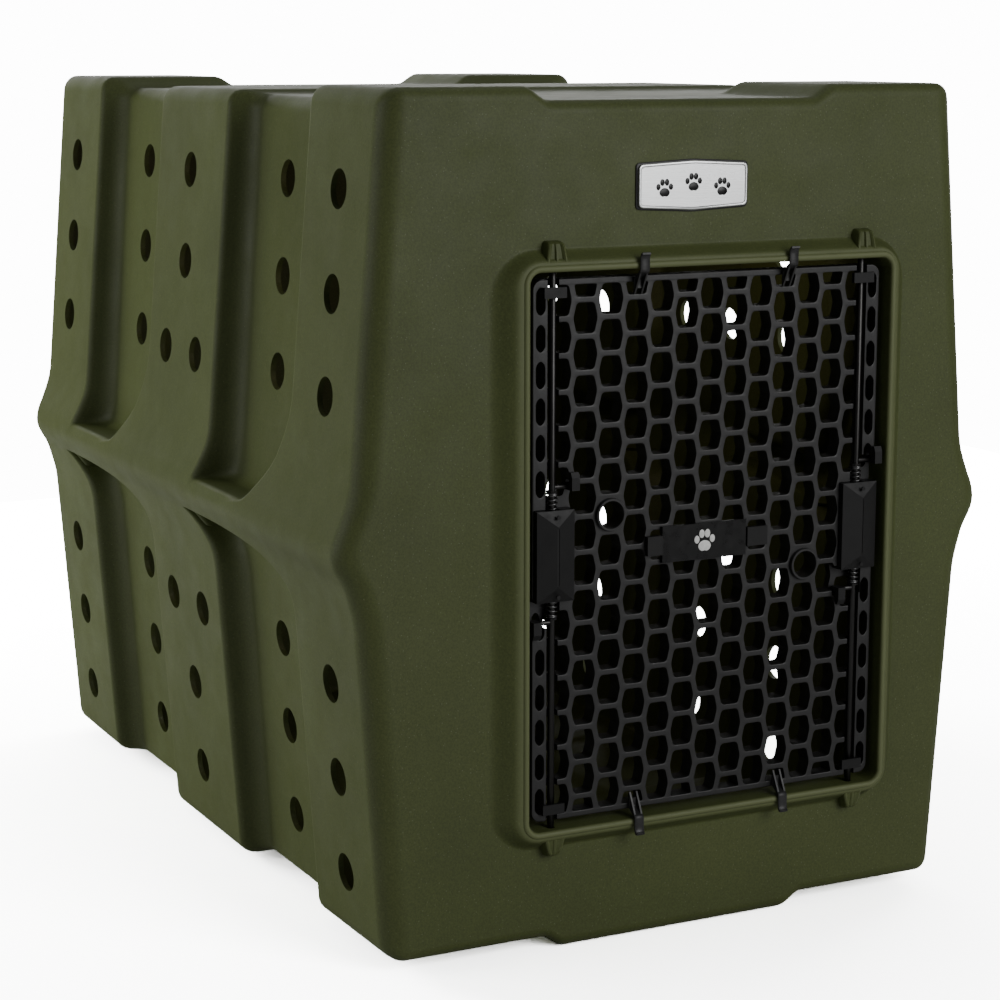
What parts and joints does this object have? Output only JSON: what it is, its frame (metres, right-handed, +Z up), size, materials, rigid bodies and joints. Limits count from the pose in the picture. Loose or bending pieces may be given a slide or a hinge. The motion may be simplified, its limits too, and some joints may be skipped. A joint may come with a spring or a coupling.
{
  "type": "pet transport carrier",
  "caption": "Rigid one-piece animal carrier with ribbed vented walls and a hinged honeycomb door held by sprung sliding rods.",
  "frame": {"origin": "on the ground plane under the middle of the overall box, at the underside of the foot ridge", "axes": "+Z up, -Y out of the door, +X to the right of someone who faces the door"},
  "size_m": [0.649, 0.91, 0.748],
  "materials": {
    "shell_plastic": "lightly textured moulded, olive green",
    "black_plastic": "satin moulded, black",
    "rod_steel": "bright drawn wire",
    "spring_steel": "oiled spring wire",
    "badge_metal": "satin with a raised polished rim"
  },
  "bodies": {
    "shell": {"shell": "shell_plastic", "badge_backing": "black_plastic", "badge_plate": "badge_metal"},
    "door": {"door_grid": "black_plastic", "door_plaque": "black_plastic", "left_plaque_clip": "black_plastic", "right_plaque_clip": "black_plastic", "left_latch_base": "black_plastic", "left_latch_cover": "black_plastic", "right_latch_base": "black_plastic", "right_latch_cover": "black_plastic", "left_top_stop_hook": "black_plastic", "right_top_stop_hook": "black_plastic", "left_low_stop_hook": "black_plastic", "right_low_stop_hook": "black_plastic", "left_upper_spring": "spring_steel", "left_upper_rod_guide": "black_plastic", "left_upper_cover_screw": "black_plastic", "left_lower_spring": "spring_steel", "left_lower_rod_guide": "black_plastic", "left_lower_cover_screw": "black_plastic", "right_upper_spring": "spring_steel", "right_upper_rod_guide": "black_plastic", "right_upper_cover_screw": "black_plastic", "right_lower_spring": "spring_steel", "right_lower_rod_guide": "black_plastic", "right_lower_cover_screw": "black_plastic"},
    "left_upper_rod": {"left_upper_rod": "rod_steel", "left_upper_finger_tab": "black_plastic", "left_upper_retainer": "rod_steel"},
    "left_lower_rod": {"left_lower_rod": "rod_steel", "left_lower_finger_tab": "black_plastic", "left_lower_retainer": "rod_steel"},
    "right_upper_rod": {"right_upper_rod": "rod_steel", "right_upper_finger_tab": "black_plastic", "right_upper_retainer": "rod_steel"},
    "right_lower_rod": {"right_lower_rod": "rod_steel", "right_lower_finger_tab": "black_plastic", "right_lower_retainer": "rod_steel"}
  },
  "joints": [
    {"name": "door_swing", "type": "hinge", "parent": "shell", "child": "door", "pos_m": [0.1792, -0.4377, 0.355], "axis": [0, 0, 1], "range_deg": [0, 100]},
    {"name": "left_upper_rod_slide", "type": "slide", "parent": "door", "child": "left_upper_rod", "axis": [0, 0, -1], "range_m": [0, 0.015], "stiffness_N_per_m": 300, "springref_m": -0.012, "deforming": ["left_upper_spring"]},
    {"name": "left_lower_rod_slide", "type": "slide", "parent": "door", "child": "left_lower_rod", "axis": [0, 0, 1], "range_m": [0, 0.015], "stiffness_N_per_m": 300, "springref_m": -0.012, "deforming": ["left_lower_spring"]},
    {"name": "right_upper_rod_slide", "type": "slide", "parent": "door", "child": "right_upper_rod", "axis": [0, 0, -1], "range_m": [0, 0.015], "stiffness_N_per_m": 300, "springref_m": -0.012, "deforming": ["right_upper_spring"]},
    {"name": "right_lower_rod_slide", "type": "slide", "parent": "door", "child": "right_lower_rod", "axis": [0, 0, 1], "range_m": [0, 0.015], "stiffness_N_per_m": 300, "springref_m": -0.012, "deforming": ["right_lower_spring"]}
  ]
}
